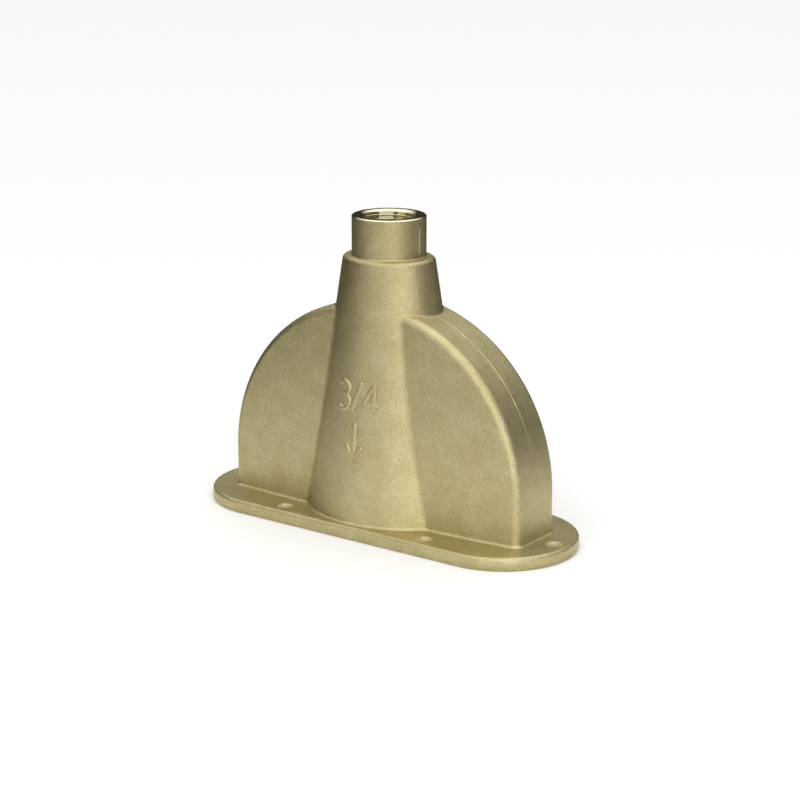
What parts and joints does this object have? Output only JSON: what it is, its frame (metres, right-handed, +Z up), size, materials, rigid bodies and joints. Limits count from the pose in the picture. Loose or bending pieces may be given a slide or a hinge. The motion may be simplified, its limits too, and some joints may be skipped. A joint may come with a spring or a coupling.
{
  "type": "water pressure regulator",
  "caption": "Cast-brass half-moon water inlet body with a threaded socket, a long flanged outlet and a fixed-setting piston pressure regulator in its neck.",
  "frame": {"origin": "centre of the flange's machined underside, at the bottom of the part", "axes": "+X along the flange's length, +Y across it to the back, +Z up through the neck to the threaded inlet"},
  "size_m": [0.19, 0.069, 0.141],
  "materials": {
    "cast_brass": "matte",
    "machined_brass": "satin",
    "stainless_steel": "satin",
    "rubber": "matte"
  },
  "bodies": {
    "housing": {"body_casting": "cast_brass", "flange_seal": "rubber", "strainer_washer": "rubber", "strainer_mesh": "stainless_steel", "valve_seat": "machined_brass", "seat_o_ring": "rubber", "cartridge_sleeve": "machined_brass", "sleeve_o_ring_upper": "rubber", "sleeve_o_ring_lower": "rubber", "retaining_nut": "machined_brass", "stop_ring": "stainless_steel", "spring_washer": "stainless_steel", "piston_spring": "stainless_steel"},
    "piston": {"piston": "machined_brass", "stem_o_ring": "rubber", "head_o_ring": "rubber", "disc_cup": "machined_brass", "seat_disc": "rubber", "disc_screw": "stainless_steel"}
  },
  "joints": [
    {"name": "piston_slide", "type": "slide", "parent": "housing", "child": "piston", "axis": [0, 0, 1], "range_m": [0, 0.003], "stiffness_N_per_m": 9500, "springref_m": -0.007, "deforming": ["piston_spring"]}
  ]
}
